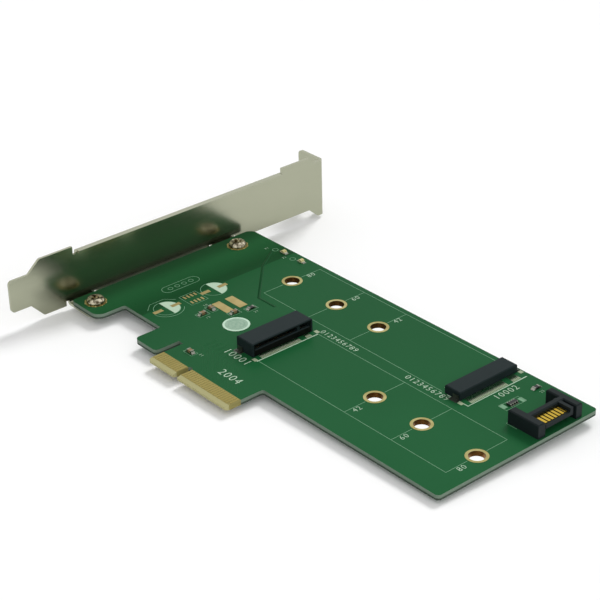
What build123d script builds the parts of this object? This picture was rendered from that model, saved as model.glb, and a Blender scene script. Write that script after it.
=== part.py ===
from build123d import *
import os

# Expansion card that carries two flat storage modules: a circuit board with a four-lane edge
# connector, two module sockets, a data header and a folded steel bracket.
# Millimetres. X runs along the board away from the bracket, Y from the edge contacts to the
# far long edge, Z out of the component side. The origin is on the key notch's centre line,
# at the end of the contact tab, halfway through the board's thickness.

os.makedirs("parts", exist_ok=True)

# Circuit board
board_thickness = 1.57
board_length = 144.2
board_left = -54.9
near_edge = 12.1
far_edge = 70.7
corner_radius = 1.2
far_left_radius = 2.5
router_radius = 0.8
board_right = board_left + board_length
board_top = board_thickness / 2
board_bottom = -board_thickness / 2

# Foot under the bracket's lower screw, and the hook beside the contact tab
foot_width = 13.2
foot_near = 2.3
foot_radius = 3.0
hook_width = 9.8
hook_near = 3.0
hook_radius = 1.4
slot_width = 2.05
slot_inner_end = 11.2
foot_right = board_left + foot_width

# Contact tab of a four-lane edge connector, ending a little past the origin
tab_end = -0.9
tab_left = -12.15
tab_right = 22.15
tab_radius = 0.7
key_width = 1.9
key_depth = 5.0
bevel_length = 1.3
bevel_depth = 0.42
contact_pitch = 1.0
contact_width = 0.7
contact_far = 4.2
contact_from_key = 1.5
contacts_before_key = 11
contacts_after_key = 21
short_contact_setback = 0.8
hook_right = tab_left - slot_width
hook_left = hook_right - hook_width

# Copper that stands on the board's faces
land_thickness = 0.05

# Bracket, folded from one sheet
sheet = 0.86
bend_inside = 0.4
bend_outside = bend_inside + sheet
bracket_gap = 1.8
bracket_width = 18.42
bracket_length = 120.02
bracket_reach = 17.0
bracket_tab_width = 10.19
bracket_tab_offset = 4.5
bracket_tab_length = 6.6
shoulder_length = 4.2
bracket_tab_radius = 1.2
shoulder_radius = 1.0
flange_depth = 11.43
flange_corner_radius = 1.5
flange_drop = 2.1
flange_ear = 3.2
ear_length = 2.7
ear_run = 3.6
ear_radius = 1.5
drop_length = 3.9
drop_run = 2.1
lip_depth = 2.0
lip_start = 23.3
lip_length = 78.2
lip_sink = 1.0
relief_width = 1.0
relief_depth = 0.3
screw_notch_width = 4.42
screw_notch_depth = 5.6
screw_notch_offset = 6.35
bracket_inner = board_left - bracket_gap
bracket_outer = bracket_inner - sheet
bracket_low = board_bottom - sheet
bracket_high = bracket_low + bracket_width
bracket_start = -bracket_reach
flange_face = bracket_start + bracket_length
flange_low = bracket_low - flange_ear
flange_high = bracket_high - flange_drop

# Bracket screws and the lugs they hold
screw_inset = 5.6
lower_screw_above_foot = 4.8
screw_spacing = 53.6
screw_radius = 1.45
screw_length = 3.0
screw_head_radius = 2.8
screw_head_height = 1.7
screw_head_edge = 0.7
recess_length = 3.0
recess_width = 0.8
recess_depth = 0.9
recess_taper = 20
screw_hole_radius = 1.7
screw_land_radius = 3.3
lug_width = 9.0
lug_reach = 4.2
lug_radius = 2.4
screw_x = board_left + screw_inset
screw_ys = [foot_near + lower_screw_above_foot, foot_near + lower_screw_above_foot + screw_spacing]

# Module sockets, measured along each socket from the line where the module's edge stops
socket_a_x = 3.3
socket_a_y = 31.7
socket_spacing_x = 57.0
socket_spacing_y = 26.25
socket_length = 21.9
socket_front = 4.0
socket_a_rear = 3.0
socket_a_height = 4.15
socket_b_rear = 1.7
socket_b_height = 2.5
socket_edge = 0.25
mouth_width = 20.1
socket_a_floor = 2.05
socket_b_floor = 0.6
mouth_height = 1.25
mouth_end_clearance = 0.1
mouth_flare = 0.3
key_rib_width = 1.0
key_rib_setback = 0.5
key_m_offset = 6.125
key_b_offset = 5.625
spring_pitch = 0.5
spring_width = 0.2
spring_thickness = 0.12
spring_lift = 0.3
springs_upper = 38
springs_lower = 37
key_half_gap = 1.0
row_margin = 0.6
socket_a_foot = 0.9
socket_b_foot = 1.9
lower_spring_foot = 0.9
upper_riser_inset = 0.9
upper_spring_tip = 1.9
lower_riser_inset = 0.9
lower_spring_tip = 0.9
hold_down_length = 2.2
hold_down_foot = 1.0
hold_down_height = 1.4
hold_down_sheet = 0.2
hold_down_inset = 0.4
socket_b_x = socket_a_x + socket_spacing_x
socket_b_y = socket_a_y + socket_spacing_y

# Plated holes for the module standoffs, counted from each socket's stop line
module_lengths = [42.0, 60.0, 80.0]
module_hole_radius = 2.3
plating = 0.15
plating_rim_radius = 3.15
holes_a = [(socket_a_x + length, socket_a_y) for length in module_lengths]
holes_b = [(socket_b_x - length, socket_b_y) for length in module_lengths]

# Data header with seven contacts on a keyed tongue
header_setback = 0.6
header_length = 10.7
header_width = 16.6
header_far_gap = 5.7
header_height = 4.2
header_edge = 0.3
left_wall = 2.6
right_wall = 2.2
cross_wall_setback = 4.3
cross_wall = 1.8
tongue_low = 1.8
tongue_thickness = 1.2
tongue_width = 10.3
tongue_tip_gap = 0.3
tongue_key_thickness = 1.1
tongue_key_height = 1.1
header_contacts = 7
header_contact_pitch = 1.27
header_contact_width = 0.8
header_contact_thickness = 0.2
header_contact_tip = 0.6
header_contact_foot = 1.2
peg_radius = 0.75
peg_length = 1.2
peg_clearance = 0.05
peg_inset = 3.2

# Chips: length, width and height of the two package sizes, and the indicator lights
chip_length = 2.0
chip_width = 1.25
capacitor_height = 0.85
resistor_height = 0.55
chip_end = 0.4
chip_wall = 0.05
chip_land_width = 1.3
chip_land_length = 1.1
chip_land_overlap = 0.5
lamp_base_height = 0.35
lamp_lens_length = 1.2
lamp_lens_height = 0.45
lamp_lens_edge = 0.2
lamp_far_gap = 2.6
lamp_x = -35.6
lamp_spacing = 8.3
array_length = 3.2
array_width = 1.6
array_height = 0.5
array_pitch = 0.8
array_elements = 4
array_end_width = 0.45
array_end_depth = 0.3
array_end_gap = 17.1
terminator_end_gap = 18.1

# Chip places: x, y and the direction of the chip's length in degrees from X
capacitor_places = [(-6.9, 9.8, 0), (-16.2, 32.9, 90), (-21.8, 25.6, 90), (-22.6, 29.5, 0)]
resistor_places = [(-15.0, 38.2, 90), (board_right - terminator_end_gap, 66.6, 90)]
array_place = (board_right - array_end_gap, 56.3)

# Bare lands for parts that this version of the card leaves out
coil_land = (7.2, 2.85)
coil_land_centre = (-21.1, 35.05)
coil_land_spacing = 4.9
driver_land = (1.6, 0.6)
driver_centre = (-31.4, 29.65)
driver_row_spacing = 3.6
driver_pitch = 1.27
driver_lands_per_row = 4
can_centres = [(-31.75, 20.15), (-31.8, 37.6)]
can_land = (1.4, 3.2)
can_land_spacing = 6.4

# Round paper label
label_centre = (-10.5, 29.1)
label_radius = 4.0
label_thickness = 0.1


def finish(piece, name):
    piece.label = name
    export_step(piece, f"parts/{name}.step")


def nearest_corner(builder, x, y):
    # x and y are measured in the sketch's own plane
    return builder.vertices().sort_by_distance((x, y, 0))[0]


def contact_row(short_contact):
    # x of each edge contact and the y where it starts
    before = [-contact_from_key - i * contact_pitch for i in range(contacts_before_key)]
    after = [contact_from_key + i * contact_pitch for i in range(contacts_after_key)]
    places = sorted(before + after)
    setback = {places[short_contact]: short_contact_setback}
    return [(x, tab_end + bevel_length + setback.get(x, 0)) for x in places]


# Data header places, tied to the board's far right corner
header_front = board_right - header_setback
header_rear = header_front - header_length
header_centre_y = far_edge - header_far_gap - header_width / 2
header_near = header_centre_y - header_width / 2
header_far = header_centre_y + header_width / 2
cross_wall_x = header_rear + cross_wall_setback
peg_places = [
    (header_rear + peg_inset, header_near + left_wall / 2),
    (header_rear + peg_inset, header_far - right_wall / 2),
]

# Circuit board
outline = [
    (board_left, foot_near), (foot_right, foot_near), (foot_right, near_edge),
    (hook_left, near_edge), (hook_left, hook_near), (hook_right, hook_near),
    (hook_right, slot_inner_end), (tab_left, slot_inner_end), (tab_left, tab_end),
    (tab_right, tab_end), (tab_right, near_edge), (board_right, near_edge),
    (board_right, far_edge), (board_left, far_edge),
]
rounded_corners = [
    (board_left, foot_near, corner_radius), (foot_right, foot_near, foot_radius),
    (foot_right, near_edge, router_radius), (hook_left, near_edge, router_radius),
    (hook_left, hook_near, hook_radius), (hook_right, hook_near, hook_radius),
    (tab_left, tab_end, tab_radius), (tab_right, tab_end, tab_radius),
    (tab_right, near_edge, router_radius), (board_right, near_edge, corner_radius),
    (board_right, far_edge, corner_radius), (board_left, far_edge, far_left_radius),
]

with BuildPart() as circuit_board:
    with BuildSketch(Plane.XY.offset(board_bottom)) as board_plan:
        with BuildLine():
            Polyline(*outline, close=True)
        make_face()
        for x, y, radius in rounded_corners:
            fillet(nearest_corner(board_plan, x, y), radius)
        with Locations((0, (key_depth - key_width / 2 + tab_end) / 2)):
            Rectangle(key_width, key_depth - key_width / 2 - tab_end, mode=Mode.SUBTRACT)
        with Locations((0, key_depth - key_width / 2)):
            Circle(key_width / 2, mode=Mode.SUBTRACT)
        with Locations(*holes_a, *holes_b):
            Circle(module_hole_radius + plating, mode=Mode.SUBTRACT)
        with Locations(*[(screw_x, y) for y in screw_ys]):
            Circle(screw_hole_radius, mode=Mode.SUBTRACT)
        with Locations(*peg_places):
            Circle(peg_radius + peg_clearance, mode=Mode.SUBTRACT)
    extrude(amount=board_thickness)
    # Both edges of the tab's end are bevelled so that it slides into its slot
    bevel_start = tab_end + bevel_length
    bevel_beyond = tab_end - bevel_length
    with BuildSketch(Plane.YZ.offset(tab_left - contact_pitch)):
        for side in (1, -1):
            with BuildLine():
                Polyline(
                    (tab_end, side * (board_top - bevel_depth)), (bevel_start, side * board_top),
                    (bevel_start, side * 2 * board_top), (bevel_beyond, side * 2 * board_top),
                    (bevel_beyond, side * (board_top - bevel_depth)), close=True,
                )
            make_face()
    extrude(amount=tab_right - tab_left + 2 * contact_pitch, mode=Mode.SUBTRACT)
finish(circuit_board.part, "circuit_board")


# Gold contacts on both faces of the tab, with the presence contact set back on each
for name, base, short_contact in (
    ("edge_contacts_top", board_top, -1),
    ("edge_contacts_bottom", board_bottom - land_thickness, 0),
):
    with BuildPart() as edge_contacts:
        with BuildSketch(Plane.XY.offset(base)):
            for x, start in contact_row(short_contact):
                with Locations((x, (start + contact_far) / 2)):
                    Rectangle(contact_width, contact_far - start)
        extrude(amount=land_thickness)
    finish(edge_contacts.part, name)


# Bracket: an L-shaped strip seen from above, trimmed to the outline seen from the board's side
root_y = bracket_start + bracket_tab_length
shoulder_y = root_y + shoulder_length
tab_low_z = bracket_low + bracket_tab_offset
tab_high_z = tab_low_z + bracket_tab_width
ear_y = flange_face - ear_length
ear_start_y = ear_y - ear_run
drop_y = flange_face - drop_length
drop_start_y = drop_y - drop_run
lip_top = bracket_high - lip_sink
lip_y = bracket_start + lip_start
bend_fold_z = lip_top - bend_outside

with BuildPart() as bracket:
    with BuildSketch(Plane.XY.offset(flange_low)) as strip:
        with BuildLine():
            Polyline(
                (bracket_inner, bracket_start), (bracket_inner, flange_face),
                (bracket_inner - flange_depth, flange_face),
                (bracket_inner - flange_depth, flange_face - sheet),
                (bracket_outer, flange_face - sheet), (bracket_outer, bracket_start), close=True,
            )
        make_face()
        fillet(nearest_corner(strip, bracket_inner, flange_face), bend_outside)
        fillet(nearest_corner(strip, bracket_outer, flange_face - sheet), bend_inside)
    extrude(amount=bracket_high - flange_low)

    with BuildSketch(Plane.YZ.offset(bracket_inner - flange_depth)) as side_view:
        with BuildLine():
            Polyline(
                (bracket_start, tab_low_z), (root_y, tab_low_z), (shoulder_y, bracket_low),
                (ear_start_y, bracket_low), (ear_y, flange_low), (flange_face, flange_low),
                (flange_face, flange_high), (drop_y, flange_high), (drop_start_y, bracket_high),
                (shoulder_y, bracket_high), (root_y, tab_high_z), (bracket_start, tab_high_z),
                close=True,
            )
        make_face()
        for z in (tab_low_z, tab_high_z):
            fillet(nearest_corner(side_view, bracket_start, z), bracket_tab_radius)
        for z in (bracket_low, bracket_high):
            fillet(nearest_corner(side_view, shoulder_y, z), shoulder_radius)
        for y, z in ((ear_start_y, bracket_low), (ear_y, flange_low)):
            fillet(nearest_corner(side_view, y, z), ear_radius)
    extrude(amount=flange_depth, mode=Mode.INTERSECT)

    # The component side's long edge is folded over the board as a stiffening lip
    with BuildSketch(Plane.YZ.offset(bracket_outer)):
        with Locations((lip_y + lip_length / 2, bracket_high)):
            Rectangle(
                lip_length + 2 * relief_width, 2 * (bracket_high - bend_fold_z + relief_depth),
            )
    extrude(amount=sheet, mode=Mode.SUBTRACT)
    with BuildSketch(Plane.XZ.offset(-lip_y)) as lip_section:
        with BuildLine():
            Polyline(
                (bracket_outer, bend_fold_z - relief_depth), (bracket_inner, bend_fold_z - relief_depth),
                (bracket_inner, lip_top - sheet), (bracket_inner + lip_depth, lip_top - sheet),
                (bracket_inner + lip_depth, lip_top), (bracket_outer, lip_top), close=True,
            )
        make_face()
        fillet(nearest_corner(lip_section, bracket_outer, lip_top), bend_outside)
        fillet(nearest_corner(lip_section, bracket_inner, lip_top - sheet), bend_inside)
    extrude(amount=-lip_length)

    # Two lugs are folded from the lower edge to lie flat under the board
    for screw_y in screw_ys:
        lug_start = screw_y - lug_width / 2
        with BuildSketch(Plane.YZ.offset(bracket_outer)):
            with Locations((screw_y, bracket_low)):
                Rectangle(lug_width + 2 * relief_width, 2 * (bend_outside + relief_depth))
        extrude(amount=sheet, mode=Mode.SUBTRACT)
        with BuildSketch(Plane.XZ.offset(-lug_start)) as lug_section:
            with BuildLine():
                Polyline(
                    (bracket_outer, bracket_low), (screw_x + lug_reach, bracket_low),
                    (screw_x + lug_reach, bracket_low + sheet), (bracket_inner, bracket_low + sheet),
                    (bracket_inner, bracket_low + bend_outside + relief_depth),
                    (bracket_outer, bracket_low + bend_outside + relief_depth), close=True,
                )
            make_face()
            fillet(nearest_corner(lug_section, bracket_outer, bracket_low), bend_outside)
            fillet(nearest_corner(lug_section, bracket_inner, bracket_low + sheet), bend_inside)
        extrude(amount=-lug_width)
        lug_corners = bracket.edges().filter_by(Axis.Z).filter_by_position(
            Axis.X, screw_x + lug_reach, screw_x + lug_reach
        ).filter_by_position(Axis.Y, lug_start, lug_start + lug_width)
        fillet(lug_corners, lug_radius)
        with BuildSketch(Plane.XY.offset(bracket_low)):
            with Locations((screw_x, screw_y)):
                Circle(screw_radius)
        extrude(amount=sheet, mode=Mode.SUBTRACT)

    # The case's screw clamps the flange through a notch that is open at the ear's side
    with BuildSketch(Plane.XZ.offset(-flange_face)):
        notch_x = bracket_inner - screw_notch_offset
        notch_centre_z = flange_low + screw_notch_depth - screw_notch_width / 2
        with Locations((notch_x, notch_centre_z)):
            Circle(screw_notch_width / 2)
        with Locations((notch_x, (flange_low + notch_centre_z) / 2)):
            Rectangle(screw_notch_width, notch_centre_z - flange_low)
    extrude(amount=sheet, mode=Mode.SUBTRACT)
    flange_corners = bracket.edges().filter_by(Axis.Y).filter_by_position(
        Axis.X, bracket_inner - flange_depth, bracket_inner - flange_depth
    )
    fillet(flange_corners, flange_corner_radius)
finish(bracket.part, "bracket")


# Screws: cross-recessed pan heads that stand on the board's gold rings
head_seat = board_top + land_thickness

with BuildPart() as bracket_screws:
    with BuildSketch(Plane.XY.offset(head_seat)):
        with Locations(*[(screw_x, y) for y in screw_ys]):
            Circle(screw_head_radius)
    extrude(amount=screw_head_height)
    chamfer(
        bracket_screws.faces().filter_by(Axis.Z).group_by(Axis.Z)[-1].edges(), screw_head_edge,
    )
    with BuildSketch(Plane.XY.offset(head_seat + screw_head_height)):
        with Locations(*[(screw_x, y) for y in screw_ys]):
            Rectangle(recess_length, recess_width)
            Rectangle(recess_width, recess_length)
    extrude(amount=-recess_depth, mode=Mode.SUBTRACT, taper=recess_taper)
    with BuildSketch(Plane.XY.offset(head_seat)):
        with Locations(*[(screw_x, y) for y in screw_ys]):
            Circle(screw_radius)
    extrude(amount=-screw_length)
finish(bracket_screws.part, "bracket_screws")

with BuildPart() as screw_lands:
    with BuildSketch(Plane.XY.offset(board_top)):
        with Locations(*[(screw_x, y) for y in screw_ys]):
            Circle(screw_land_radius)
            Circle(screw_hole_radius, mode=Mode.SUBTRACT)
    extrude(amount=land_thickness)
finish(screw_lands.part, "screw_lands")


# Plated holes: a barrel through the board with a flat rim on the component side
with BuildPart() as lining:
    with BuildSketch(Plane.XZ):
        with BuildLine():
            Polyline(
                (module_hole_radius, board_top + land_thickness),
                (plating_rim_radius, board_top + land_thickness), (plating_rim_radius, board_top),
                (module_hole_radius + plating, board_top), (module_hole_radius + plating, board_bottom),
                (module_hole_radius, board_bottom),
                close=True,
            )
        make_face()
    revolve(axis=Axis.Z)


def make_hole_linings(places, name):
    with BuildPart() as linings:
        with Locations(*[(x, y, 0) for x, y in places]):
            add(lining.part)
    finish(linings.part, name)


make_hole_linings(holes_a, "hole_linings_a")
make_hole_linings(holes_b, "hole_linings_b")


# Module sockets. Each is drawn with its mouth towards +X of its own side plane.
def row_places(count, key_offset):
    places = [(i - (count - 1) / 2) * spring_pitch for i in range(count)]
    return [y for y in places if abs(y - key_offset) > key_half_gap]


def spring_outline(foot_end, riser, tip, root_z):
    # a foot on the board, a riser, and a sloping beam that tapers to its tip in the mouth
    inward = 1 if tip > riser else -1
    tip_z = root_z - inward * spring_lift
    inner = riser + inward * spring_thickness
    return [
        (foot_end, 0), (inner, 0), (inner, root_z - spring_thickness),
        (tip, tip_z), (riser, root_z),
        (riser, spring_thickness), (foot_end, spring_thickness),
    ]


def upper_spring_outline(rear, foot, floor):
    return spring_outline(-rear - foot, -rear + upper_riser_inset, upper_spring_tip, floor + mouth_height)


def lower_spring_outline(floor):
    riser = socket_front - lower_riser_inset
    root_z = floor + spring_thickness
    return spring_outline(socket_front + lower_spring_foot, riser, lower_spring_tip, root_z)


def draw_steps(steps):
    for start, end, low, high in steps:
        with Locations(((start + end) / 2, (low + high) / 2)):
            Rectangle(end - start, high - low)


def make_socket(letter, stop_x, centre_y, facing, key_offset, rear, height, floor, foot):
    side = Plane(origin=(stop_x, centre_y, board_top), x_dir=(facing, 0, 0), z_dir=(0, -facing, 0))
    plan = Plane(origin=(stop_x, centre_y, board_top), x_dir=(facing, 0, 0), z_dir=(0, 0, 1))
    # the plan's own Y turns with the way the socket faces
    key_y = key_offset * facing
    row_width = springs_upper * spring_pitch + row_margin
    body_centre = (socket_front - rear) / 2
    body_depth = socket_front + rear
    mouth_end = -mouth_end_clearance
    roof = floor + mouth_height
    upper_outline = upper_spring_outline(rear, foot, floor)
    lower_outline = lower_spring_outline(floor)

    with BuildPart() as housing:
        with BuildSketch(plan):
            with Locations((body_centre, 0)):
                Rectangle(body_depth, socket_length)
        extrude(amount=height)
        chamfer(housing.faces().sort_by(Axis.Z)[-1].edges(), socket_edge)
        # Mouth with a flared entry
        with BuildSketch(side):
            with BuildLine():
                Polyline(
                    (mouth_end, floor), (socket_front - mouth_flare, floor),
                    (socket_front, floor - mouth_flare), (socket_front, roof + mouth_flare),
                    (socket_front - mouth_flare, roof), (mouth_end, roof), close=True,
                )
            make_face()
        extrude(amount=mouth_width / 2, both=True, mode=Mode.SUBTRACT)
        # Rib that fits the module's key notch
        with BuildSketch(plan.offset(floor)):
            with Locations(((mouth_end + socket_front - key_rib_setback) / 2, key_y)):
                Rectangle(socket_front - key_rib_setback - mouth_end, key_rib_width)
        extrude(amount=mouth_height)
        # Slits that the springs pass through
        for points in (upper_outline, lower_outline):
            with BuildSketch(side):
                with BuildLine():
                    Polyline(*points, close=True)
                make_face()
            extrude(amount=row_width / 2, both=True, mode=Mode.SUBTRACT)
    finish(housing.part, f"socket_{letter}_housing")

    for row, points, places in (
        ("upper", upper_outline, row_places(springs_upper, key_offset)),
        ("lower", lower_outline, row_places(springs_lower, key_offset)),
    ):
        with BuildPart() as spring:
            with BuildSketch(side):
                with BuildLine():
                    Polyline(*points, close=True)
                make_face()
            extrude(amount=spring_width / 2, both=True)
        with BuildPart() as springs:
            with Locations(*[(0, y, 0) for y in places]):
                add(spring.part)
        finish(springs.part, f"socket_{letter}_{row}_contacts")

    # Solder tabs: an upright blade against each end of the housing and a foot on the board
    with BuildPart() as hold_downs:
        for end in (1, -1):
            blade_y = end * (socket_length / 2 + hold_down_sheet / 2)
            foot_y = end * (socket_length + hold_down_foot) / 2
            foot_x = -rear + hold_down_inset + hold_down_length / 2
            with BuildSketch(plan):
                with Locations((foot_x, foot_y)):
                    Rectangle(hold_down_length, hold_down_foot)
            extrude(amount=hold_down_sheet)
            with BuildSketch(plan):
                with Locations((foot_x, blade_y)):
                    Rectangle(hold_down_length, hold_down_sheet)
            extrude(amount=hold_down_height)
    finish(hold_downs.part, f"socket_{letter}_hold_downs")


make_socket(
    "a", socket_a_x, socket_a_y, 1, key_m_offset,
    socket_a_rear, socket_a_height, socket_a_floor, socket_a_foot,
)
make_socket(
    "b", socket_b_x, socket_b_y, -1, key_b_offset,
    socket_b_rear, socket_b_height, socket_b_floor, socket_b_foot,
)


# Data header: two side walls, a cross wall and a tongue that stands clear of the board
tongue_near = header_centre_y - tongue_width / 2
tongue_front = header_front - tongue_tip_gap
tongue_top = tongue_low + tongue_thickness
slit_low = board_top + tongue_top
header_row_y = header_centre_y - tongue_key_thickness / 2
header_row_width = header_contacts * header_contact_pitch

with BuildPart() as data_header_housing:
    for near, width in ((header_near, left_wall), (header_far - right_wall, right_wall)):
        with BuildSketch(Plane.XY.offset(board_top)):
            with Locations((header_rear + header_length / 2, near + width / 2)):
                Rectangle(header_length, width)
        extrude(amount=header_height)
    with BuildSketch(Plane.XY.offset(board_top)):
        with Locations((cross_wall_x + cross_wall / 2, header_centre_y)):
            Rectangle(cross_wall, header_width)
    extrude(amount=header_height)
    chamfer(
        data_header_housing.faces().sort_by(Axis.Z)[-1].outer_wire().edges(), header_edge,
    )
    with BuildSketch(Plane.XY.offset(board_top + tongue_low)):
        with Locations(((cross_wall_x + tongue_front) / 2, header_centre_y)):
            Rectangle(tongue_front - cross_wall_x, tongue_width)
    extrude(amount=tongue_thickness)
    # The tongue's upright leg keys the plug
    with BuildSketch(Plane.XY.offset(board_top + tongue_top)):
        with Locations((
            (cross_wall_x + tongue_front) / 2,
            tongue_near + tongue_width - tongue_key_thickness / 2,
        )):
            Rectangle(tongue_front - cross_wall_x, tongue_key_thickness)
    extrude(amount=tongue_key_height)
    with BuildSketch(Plane.XY.offset(slit_low)):
        with Locations((cross_wall_x + cross_wall / 2, header_row_y)):
            Rectangle(cross_wall, header_row_width)
    extrude(amount=header_contact_thickness, mode=Mode.SUBTRACT)
    with BuildSketch(Plane.XY.offset(board_top)):
        with Locations(*peg_places):
            Circle(peg_radius)
    extrude(amount=-peg_length)
finish(data_header_housing.part, "data_header_housing")

header_side = Plane(
    origin=(cross_wall_x, header_row_y, board_top), x_dir=(1, 0, 0), z_dir=(0, -1, 0),
)
with BuildPart() as header_contact:
    with BuildSketch(header_side):
        draw_steps([
            (-header_contact_foot, 0, 0, header_contact_thickness),
            (-header_contact_thickness, 0, 0, tongue_top + header_contact_thickness),
            (-header_contact_thickness, tongue_front - header_contact_tip - cross_wall_x,
             tongue_top, tongue_top + header_contact_thickness),
        ])
    extrude(amount=header_contact_width / 2, both=True)

with BuildPart() as data_header_contacts:
    for i in range(header_contacts):
        with Locations((0, (i - (header_contacts - 1) / 2) * header_contact_pitch, 0)):
            add(header_contact.part)
finish(data_header_contacts.part, "data_header_contacts")


# Chips: a ceramic body with a metal cap over each end, standing on two lands
def chip_locations(places):
    seat = board_top + land_thickness
    return [Location((x, y, seat), (0, 0, angle)) for x, y, angle in places]


def make_chips(places, height, kind):
    with BuildPart() as body:
        with BuildSketch(Plane.XY.offset(chip_wall)):
            Rectangle(chip_length - 2 * chip_wall, chip_width - 2 * chip_wall)
        extrude(amount=height - 2 * chip_wall)
    with BuildPart() as ends:
        with BuildSketch(Plane.XY):
            for side in (1, -1):
                with Locations((side * (chip_length - chip_end) / 2, 0)):
                    Rectangle(chip_end, chip_width)
        extrude(amount=height)
        add(body.part, mode=Mode.SUBTRACT)
    with BuildPart() as bodies:
        with Locations(*chip_locations(places)):
            add(body.part)
    finish(bodies.part, f"{kind}_bodies")
    with BuildPart() as caps:
        with Locations(*chip_locations(places)):
            add(ends.part)
    finish(caps.part, f"{kind}_ends")


make_chips(capacitor_places, capacitor_height, "capacitor")
make_chips(resistor_places, resistor_height, "resistor")

# Indicator lights near the far edge
lamp_y = far_edge - lamp_far_gap
lamp_places = [(lamp_x, lamp_y, 0), (lamp_x + lamp_spacing, lamp_y, 0)]

with BuildPart() as lamp_base:
    with BuildSketch(Plane.XY):
        Rectangle(chip_length, chip_width)
    extrude(amount=lamp_base_height)
with BuildPart() as lamp_lens:
    with BuildSketch(Plane.XY.offset(lamp_base_height)):
        Rectangle(lamp_lens_length, chip_width)
    extrude(amount=lamp_lens_height)
    chamfer(lamp_lens.faces().sort_by(Axis.Z)[-1].edges().filter_by(Axis.Y), lamp_lens_edge)
with BuildPart() as lamp_bases:
    with Locations(*chip_locations(lamp_places)):
        add(lamp_base.part)
finish(lamp_bases.part, "lamp_bases")
with BuildPart() as lamp_lenses:
    with Locations(*chip_locations(lamp_places)):
        add(lamp_lens.part)
finish(lamp_lenses.part, "lamp_lenses")

# Resistor array: one body with a terminal at each end of its four resistors
array_x, array_y = array_place
with BuildPart() as array_body:
    with BuildSketch(Plane.XY.offset(board_top + land_thickness)):
        with Locations((array_x, array_y)):
            Rectangle(array_width - 2 * array_end_depth, array_length)
    extrude(amount=array_height)
finish(array_body.part, "resistor_array_body")

with BuildPart() as array_terminals:
    with BuildSketch(Plane.XY.offset(board_top + land_thickness)):
        with Locations((array_x, array_y)):
            with GridLocations(array_width - array_end_depth, array_pitch, 2, array_elements):
                Rectangle(array_end_depth, array_end_width)
    extrude(amount=array_height)
finish(array_terminals.part, "resistor_array_terminals")

# Lands under the soldered chips
land_offset = chip_length / 2 - chip_land_overlap + chip_land_length / 2
with BuildPart() as chip_lands:
    with BuildSketch(Plane.XY.offset(board_top)):
        for x, y, angle in capacitor_places + resistor_places + lamp_places:
            with Locations(Location((x, y), angle)):
                with GridLocations(2 * land_offset, 0, 2, 1):
                    Rectangle(chip_land_length, chip_land_width)
        with Locations((array_x, array_y)):
            with GridLocations(array_width, array_pitch, 2, array_elements):
                Rectangle(2 * array_end_depth, array_end_width)
    extrude(amount=land_thickness)
finish(chip_lands.part, "chip_lands")

# Lands that stay bare
with BuildPart() as bare_lands:
    with BuildSketch(Plane.XY.offset(board_top)):
        with Locations(coil_land_centre):
            with GridLocations(0, coil_land_spacing, 1, 2):
                Rectangle(*coil_land)
        with Locations(driver_centre):
            with GridLocations(driver_row_spacing, driver_pitch, 2, driver_lands_per_row):
                Rectangle(*driver_land)
        for centre in can_centres:
            with Locations(centre):
                with GridLocations(0, can_land_spacing, 1, 2):
                    Rectangle(*can_land)
    extrude(amount=land_thickness)
finish(bare_lands.part, "bare_lands")

# Round paper label
with BuildPart() as round_label:
    with BuildSketch(Plane.XY.offset(board_top)):
        with Locations(label_centre):
            Circle(label_radius)
    extrude(amount=label_thickness)
finish(round_label.part, "round_label")
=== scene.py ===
import math

import bmesh
import bpy
from mathutils import Matrix, Vector


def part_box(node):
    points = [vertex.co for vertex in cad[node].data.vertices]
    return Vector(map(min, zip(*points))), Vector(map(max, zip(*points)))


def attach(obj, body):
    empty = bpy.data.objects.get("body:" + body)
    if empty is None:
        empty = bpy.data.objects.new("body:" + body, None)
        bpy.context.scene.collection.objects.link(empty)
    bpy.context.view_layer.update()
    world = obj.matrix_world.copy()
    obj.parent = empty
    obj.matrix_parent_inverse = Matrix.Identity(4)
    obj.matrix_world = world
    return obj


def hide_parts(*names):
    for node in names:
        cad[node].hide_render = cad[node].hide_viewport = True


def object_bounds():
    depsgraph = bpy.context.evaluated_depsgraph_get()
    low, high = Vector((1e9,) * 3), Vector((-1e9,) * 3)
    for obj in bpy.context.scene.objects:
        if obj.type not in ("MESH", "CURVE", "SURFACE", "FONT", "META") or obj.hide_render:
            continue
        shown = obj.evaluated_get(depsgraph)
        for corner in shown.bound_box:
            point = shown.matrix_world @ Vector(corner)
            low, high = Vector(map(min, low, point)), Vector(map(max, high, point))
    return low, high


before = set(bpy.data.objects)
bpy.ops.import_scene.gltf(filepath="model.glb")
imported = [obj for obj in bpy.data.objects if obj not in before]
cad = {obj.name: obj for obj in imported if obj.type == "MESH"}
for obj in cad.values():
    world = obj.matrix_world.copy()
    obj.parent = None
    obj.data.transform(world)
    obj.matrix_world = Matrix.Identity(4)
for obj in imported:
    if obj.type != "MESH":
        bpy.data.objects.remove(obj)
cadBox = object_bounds()
scene = bpy.context.scene
scene.view_settings.view_transform = "Standard"
mm = 0.001
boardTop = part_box("circuit_board")[1].z / mm
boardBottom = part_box("circuit_board")[0].z / mm
print("frame loaded,", len(cad), "nodes")


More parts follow.
